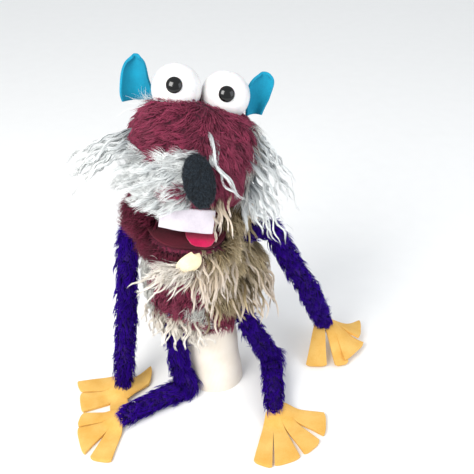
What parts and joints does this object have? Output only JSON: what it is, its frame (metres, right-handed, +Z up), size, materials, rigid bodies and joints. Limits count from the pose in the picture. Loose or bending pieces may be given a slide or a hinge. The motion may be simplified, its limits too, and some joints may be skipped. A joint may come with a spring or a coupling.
{
  "type": "sock puppet",
  "caption": "Furry hand puppet with a sock body, a hinged jaw, ball eyes with bead pupils, felt ears, and bendable fur limbs that end in slit felt hands and feet.",
  "frame": {"origin": "middle of the sock's open cuff, in the plane that the cuff stands on", "axes": "+Z up, the puppet faces -Y, and +X is to the right as seen from the front"},
  "size_m": [0.2948, 0.1895, 0.3302],
  "materials": {
    "maroon_fur": "short synthetic fur",
    "white_long_fur": "long synthetic fur",
    "taupe_shag": "wavy shag",
    "purple_fur": "short fuzzy chenille",
    "yellow_felt": "felt",
    "teal_felt": "felt",
    "cream_knit": "fine knit",
    "polyester_stuffing": "loose fibre",
    "white_foam": "soft upholstery foam",
    "plate_board": "stiff board",
    "dark_red_felt": "felt",
    "crimson_satin": "satin",
    "white_felt": "felt",
    "cream_felt": "felt",
    "black_fur": "short fuzzy pile",
    "white_celluloid": "smooth semi-gloss",
    "black_bead": "high gloss",
    "galvanised_wire": "drawn wire"
  },
  "bodies": {
    "torso": {"sock": "cream_knit", "body_padding": "polyester_stuffing", "body_fur": "maroon_fur", "side_shag": "taupe_shag", "hem_tufts": "white_long_fur", "neck_fur": "maroon_fur", "left_shoulder_tab": "purple_fur", "right_shoulder_tab": "purple_fur", "left_hip_tab": "purple_fur", "right_hip_tab": "purple_fur"},
    "head": {"head_foam": "white_foam", "head_fur": "maroon_fur", "upper_mouth_plate": "plate_board", "palate_lining": "dark_red_felt", "mouth_hinge_roll": "dark_red_felt", "upper_teeth": "white_felt", "nose": "black_fur", "left_eyeball": "white_celluloid", "right_eyeball": "white_celluloid", "left_pupil": "black_bead", "right_pupil": "black_bead", "left_ear": "teal_felt", "right_ear": "teal_felt", "left_cheek_lock": "white_long_fur", "right_cheek_lock": "white_long_fur"},
    "jaw": {"jaw_foam": "white_foam", "jaw_fur": "maroon_fur", "lower_mouth_plate": "plate_board", "jaw_lining": "dark_red_felt", "tongue": "crimson_satin", "chin_tuft": "cream_felt"},
    "left_upper_arm": {"left_upper_arm": "purple_fur", "left_upper_arm_wire": "galvanised_wire"},
    "left_forearm": {"left_forearm": "purple_fur", "left_forearm_wire": "galvanised_wire"},
    "left_hand": {"left_hand": "yellow_felt"},
    "left_thigh": {"left_thigh": "purple_fur", "left_thigh_wire": "galvanised_wire"},
    "left_shin": {"left_shin": "purple_fur", "left_shin_wire": "galvanised_wire"},
    "left_foot": {"left_foot": "yellow_felt"},
    "right_upper_arm": {"right_upper_arm": "purple_fur", "right_upper_arm_wire": "galvanised_wire"},
    "right_forearm": {"right_forearm": "purple_fur", "right_forearm_wire": "galvanised_wire"},
    "right_hand": {"right_hand": "yellow_felt"},
    "right_thigh": {"right_thigh": "purple_fur", "right_thigh_wire": "galvanised_wire"},
    "right_shin": {"right_shin": "purple_fur", "right_shin_wire": "galvanised_wire"},
    "right_foot": {"right_foot": "yellow_felt"}
  },
  "joints": [
    {"name": "head_nod", "type": "hinge", "parent": "torso", "child": "head", "pos_m": [-0.023, 0, 0.205], "axis": [0.9839, 0.0861, -0.1564], "range_deg": [-12, 2]},
    {"name": "jaw_open", "type": "hinge", "parent": "head", "child": "jaw", "pos_m": [-0.0221, -0.0079, 0.206], "axis": [0.9839, 0.0861, -0.1564], "range_deg": [-9, 8]},
    {"name": "left_shoulder", "type": "hinge", "parent": "torso", "child": "left_upper_arm", "pos_m": [-0.076, 0, 0.168], "axis": [0, 1, 0], "range_deg": [0, 95]},
    {"name": "right_shoulder", "type": "hinge", "parent": "torso", "child": "right_upper_arm", "pos_m": [0.054, 0.002, 0.171], "axis": [0, -1, 0], "range_deg": [-5, 75]},
    {"name": "left_elbow", "type": "hinge", "parent": "left_upper_arm", "child": "left_forearm", "pos_m": [-0.083, -0.004, 0.087], "axis": [-0.7071, 0.7071, 0], "range_deg": [-10, 95]},
    {"name": "right_elbow", "type": "hinge", "parent": "right_upper_arm", "child": "right_forearm", "pos_m": [0.092, 0.004, 0.0985], "axis": [-1, 0, 0], "range_deg": [-10, 90]},
    {"name": "left_wrist", "type": "hinge", "parent": "left_forearm", "child": "left_hand", "pos_m": [-0.089, -0.028, 0.01], "axis": [0.8191, 0.5736, 0], "range_deg": [-15, 40]},
    {"name": "right_wrist", "type": "hinge", "parent": "right_forearm", "child": "right_hand", "pos_m": [0.113, 0.044, 0.03], "axis": [-0.6157, -0.788, 0], "range_deg": [-40, 30]},
    {"name": "left_hip", "type": "hinge", "parent": "torso", "child": "left_thigh", "pos_m": [-0.037, -0.024, 0.086], "axis": [-1, 0, 0], "range_deg": [0, 55]},
    {"name": "right_hip", "type": "hinge", "parent": "torso", "child": "right_thigh", "pos_m": [0.031, -0.02, 0.086], "axis": [-1, 0, 0], "range_deg": [-5, 55]},
    {"name": "left_knee", "type": "hinge", "parent": "left_thigh", "child": "left_shin", "pos_m": [-0.03, -0.03, 0.0102], "axis": [-0.5979, 0.7928, -0.118], "range_deg": [-80, 5]},
    {"name": "right_knee", "type": "hinge", "parent": "right_thigh", "child": "right_shin", "pos_m": [0.057, 0.002, 0.016], "axis": [-0.9381, 0.007, -0.3462], "range_deg": [-95, 0]},
    {"name": "left_ankle", "type": "hinge", "parent": "left_shin", "child": "left_foot", "pos_m": [-0.083, -0.07, 0.01], "axis": [-0.6691, 0.7431, 0], "range_deg": [-30, 30]},
    {"name": "right_ankle", "type": "hinge", "parent": "right_shin", "child": "right_foot", "pos_m": [0.058, -0.062, 0.012], "axis": [-0.8746, -0.4848, 0], "range_deg": [-30, 30]}
  ]
}
